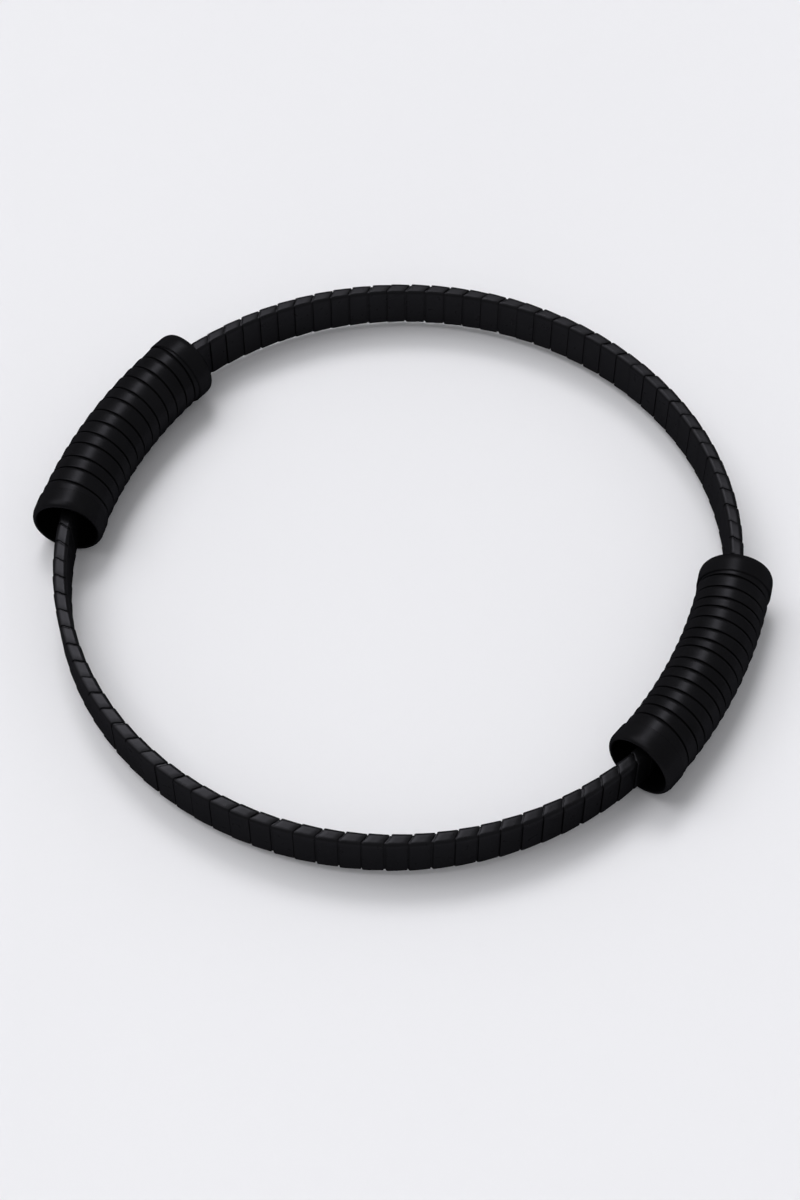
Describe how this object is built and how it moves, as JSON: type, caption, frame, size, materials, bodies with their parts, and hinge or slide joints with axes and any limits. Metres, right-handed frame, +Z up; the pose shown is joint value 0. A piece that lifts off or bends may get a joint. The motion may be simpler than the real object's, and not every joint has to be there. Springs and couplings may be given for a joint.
{
  "type": "pilates ring",
  "caption": "Flat sprung exercise ring: a tape-wrapped oval hoop with a wound tube grip on each side, squeezed between hands or legs and springing back.",
  "frame": {"origin": "middle of the ring on the floor that it lies on, the bottom centre of its bounding box", "axes": "+X from the left grip through the right grip, +Y towards the rear free arc, +Z up out of the ring's opening"},
  "size_m": [0.3778, 0.361, 0.0385],
  "materials": {
    "band_tape": "matte",
    "grip_strip": "matte",
    "tube_rubber": "matte",
    "cuff_rubber": "satin",
    "core_plastic": "matte",
    "spring_steel": "satin",
    "fastener_steel": "satin",
    "insert_brass": "satin",
    "liner_rubber": "matte"
  },
  "bodies": {
    "left_grip": {"left_grip_tube": "tube_rubber", "left_grip_winding": "grip_strip", "left_rear_cuff": "cuff_rubber", "left_front_cuff": "cuff_rubber", "left_outer_core": "core_plastic", "left_inner_core": "core_plastic", "left_core_screws": "fastener_steel", "left_core_inserts": "insert_brass", "left_band_rivets": "fastener_steel", "left_splice_plate": "spring_steel", "inner_spring_leaf": "spring_steel", "outer_spring_leaf": "spring_steel", "rear_liner": "liner_rubber", "front_liner": "liner_rubber"},
    "rear_1": {"rear_wrap_1": "band_tape"},
    "rear_2": {"rear_wrap_2": "band_tape"},
    "rear_3": {"rear_wrap_3": "band_tape"},
    "rear_4": {"rear_wrap_4": "band_tape"},
    "rear_5": {"rear_wrap_5": "band_tape"},
    "rear_6": {"rear_wrap_6": "band_tape"},
    "rear_7": {"rear_wrap_7": "band_tape"},
    "rear_8": {"rear_wrap_8": "band_tape"},
    "front_1": {"front_wrap_1": "band_tape"},
    "front_2": {"front_wrap_2": "band_tape"},
    "front_3": {"front_wrap_3": "band_tape"},
    "front_4": {"front_wrap_4": "band_tape"},
    "front_5": {"front_wrap_5": "band_tape"},
    "front_6": {"front_wrap_6": "band_tape"},
    "front_7": {"front_wrap_7": "band_tape"},
    "front_8": {"front_wrap_8": "band_tape"},
    "right_grip": {"right_grip_tube": "tube_rubber", "right_grip_winding": "grip_strip", "right_rear_cuff": "cuff_rubber", "right_front_cuff": "cuff_rubber", "right_outer_core": "core_plastic", "right_inner_core": "core_plastic", "right_core_screws": "fastener_steel", "right_core_inserts": "insert_brass", "right_band_rivets": "fastener_steel", "right_anchor_plate": "spring_steel"}
  },
  "joints": [
    {"name": "squeeze", "type": "slide", "parent": "left_grip", "child": "right_grip", "axis": [-1, 0, 0], "range_m": [-0.01, 0.05], "stiffness_N_per_m": 2600, "deforming": ["inner_spring_leaf", "outer_spring_leaf", "rear_liner", "front_liner"]},
    {"name": "rear_flex_1", "type": "hinge", "parent": "left_grip", "child": "rear_1", "pos_m": [-0.16316, 0.05757, 0.0163], "axis": [0, 0, 1], "range_deg": [-2.77, 13.05]},
    {"name": "rear_flex_2", "type": "hinge", "parent": "rear_1", "child": "rear_2", "pos_m": [-0.13893, 0.1056, 0.0163], "axis": [0, 0, 1], "range_deg": [-0.46, 1.48]},
    {"name": "rear_flex_3", "type": "hinge", "parent": "rear_2", "child": "rear_3", "pos_m": [-0.10101, 0.14374, 0.0163], "axis": [0, 0, 1], "range_deg": [-6.62, 1.48]},
    {"name": "rear_flex_4", "type": "hinge", "parent": "rear_3", "child": "rear_4", "pos_m": [-0.05312, 0.16825, 0.0163], "axis": [0, 0, 1], "range_deg": [-7.91, 1.74]},
    {"name": "rear_flex_9", "type": "hinge", "parent": "right_grip", "child": "rear_8", "pos_m": [0.16316, 0.05757, 0.0163], "axis": [0, 0, 1], "range_deg": [-13.05, 2.77]},
    {"name": "rear_flex_8", "type": "hinge", "parent": "rear_8", "child": "rear_7", "pos_m": [0.13893, 0.1056, 0.0163], "axis": [0, 0, 1], "range_deg": [-1.48, 0.46]},
    {"name": "rear_flex_7", "type": "hinge", "parent": "rear_7", "child": "rear_6", "pos_m": [0.10101, 0.14374, 0.0163], "axis": [0, 0, 1], "range_deg": [-1.48, 6.62]},
    {"name": "rear_flex_6", "type": "hinge", "parent": "rear_6", "child": "rear_5", "pos_m": [0.05312, 0.16825, 0.0163], "axis": [0, 0, 1], "range_deg": [-1.74, 7.91]},
    {"name": "front_flex_1", "type": "hinge", "parent": "left_grip", "child": "front_1", "pos_m": [-0.16316, -0.05757, 0.0163], "axis": [0, 0, 1], "range_deg": [-13.05, 2.77]},
    {"name": "front_flex_2", "type": "hinge", "parent": "front_1", "child": "front_2", "pos_m": [-0.13893, -0.1056, 0.0163], "axis": [0, 0, 1], "range_deg": [-1.48, 0.46]},
    {"name": "front_flex_3", "type": "hinge", "parent": "front_2", "child": "front_3", "pos_m": [-0.10101, -0.14374, 0.0163], "axis": [0, 0, 1], "range_deg": [-1.48, 6.62]},
    {"name": "front_flex_4", "type": "hinge", "parent": "front_3", "child": "front_4", "pos_m": [-0.05312, -0.16825, 0.0163], "axis": [0, 0, 1], "range_deg": [-1.74, 7.91]},
    {"name": "front_flex_9", "type": "hinge", "parent": "right_grip", "child": "front_8", "pos_m": [0.16316, -0.05757, 0.0163], "axis": [0, 0, 1], "range_deg": [-2.77, 13.05]},
    {"name": "front_flex_8", "type": "hinge", "parent": "front_8", "child": "front_7", "pos_m": [0.13893, -0.1056, 0.0163], "axis": [0, 0, 1], "range_deg": [-0.46, 1.48]},
    {"name": "front_flex_7", "type": "hinge", "parent": "front_7", "child": "front_6", "pos_m": [0.10101, -0.14374, 0.0163], "axis": [0, 0, 1], "range_deg": [-6.62, 1.48]},
    {"name": "front_flex_6", "type": "hinge", "parent": "front_6", "child": "front_5", "pos_m": [0.05312, -0.16825, 0.0163], "axis": [0, 0, 1], "range_deg": [-7.91, 1.74]}
  ],
  "couplings": [
    {"joint": "rear_flex_1", "follows": "squeeze", "rad_per_m": 4.4843},
    {"joint": "rear_flex_2", "follows": "squeeze", "rad_per_m": 0.44843},
    {"joint": "rear_flex_3", "follows": "squeeze", "rad_per_m": -2.2422},
    {"joint": "rear_flex_4", "follows": "squeeze", "rad_per_m": -2.6906},
    {"joint": "rear_flex_9", "follows": "squeeze", "rad_per_m": -4.4843},
    {"joint": "rear_flex_8", "follows": "squeeze", "rad_per_m": -0.44843},
    {"joint": "rear_flex_7", "follows": "squeeze", "rad_per_m": 2.2422},
    {"joint": "rear_flex_6", "follows": "squeeze", "rad_per_m": 2.6906},
    {"joint": "front_flex_1", "follows": "squeeze", "rad_per_m": -4.4843},
    {"joint": "front_flex_2", "follows": "squeeze", "rad_per_m": -0.44843},
    {"joint": "front_flex_3", "follows": "squeeze", "rad_per_m": 2.2422},
    {"joint": "front_flex_4", "follows": "squeeze", "rad_per_m": 2.6906},
    {"joint": "front_flex_9", "follows": "squeeze", "rad_per_m": 4.4843},
    {"joint": "front_flex_8", "follows": "squeeze", "rad_per_m": 0.44843},
    {"joint": "front_flex_7", "follows": "squeeze", "rad_per_m": -2.2422},
    {"joint": "front_flex_6", "follows": "squeeze", "rad_per_m": -2.6906}
  ]
}
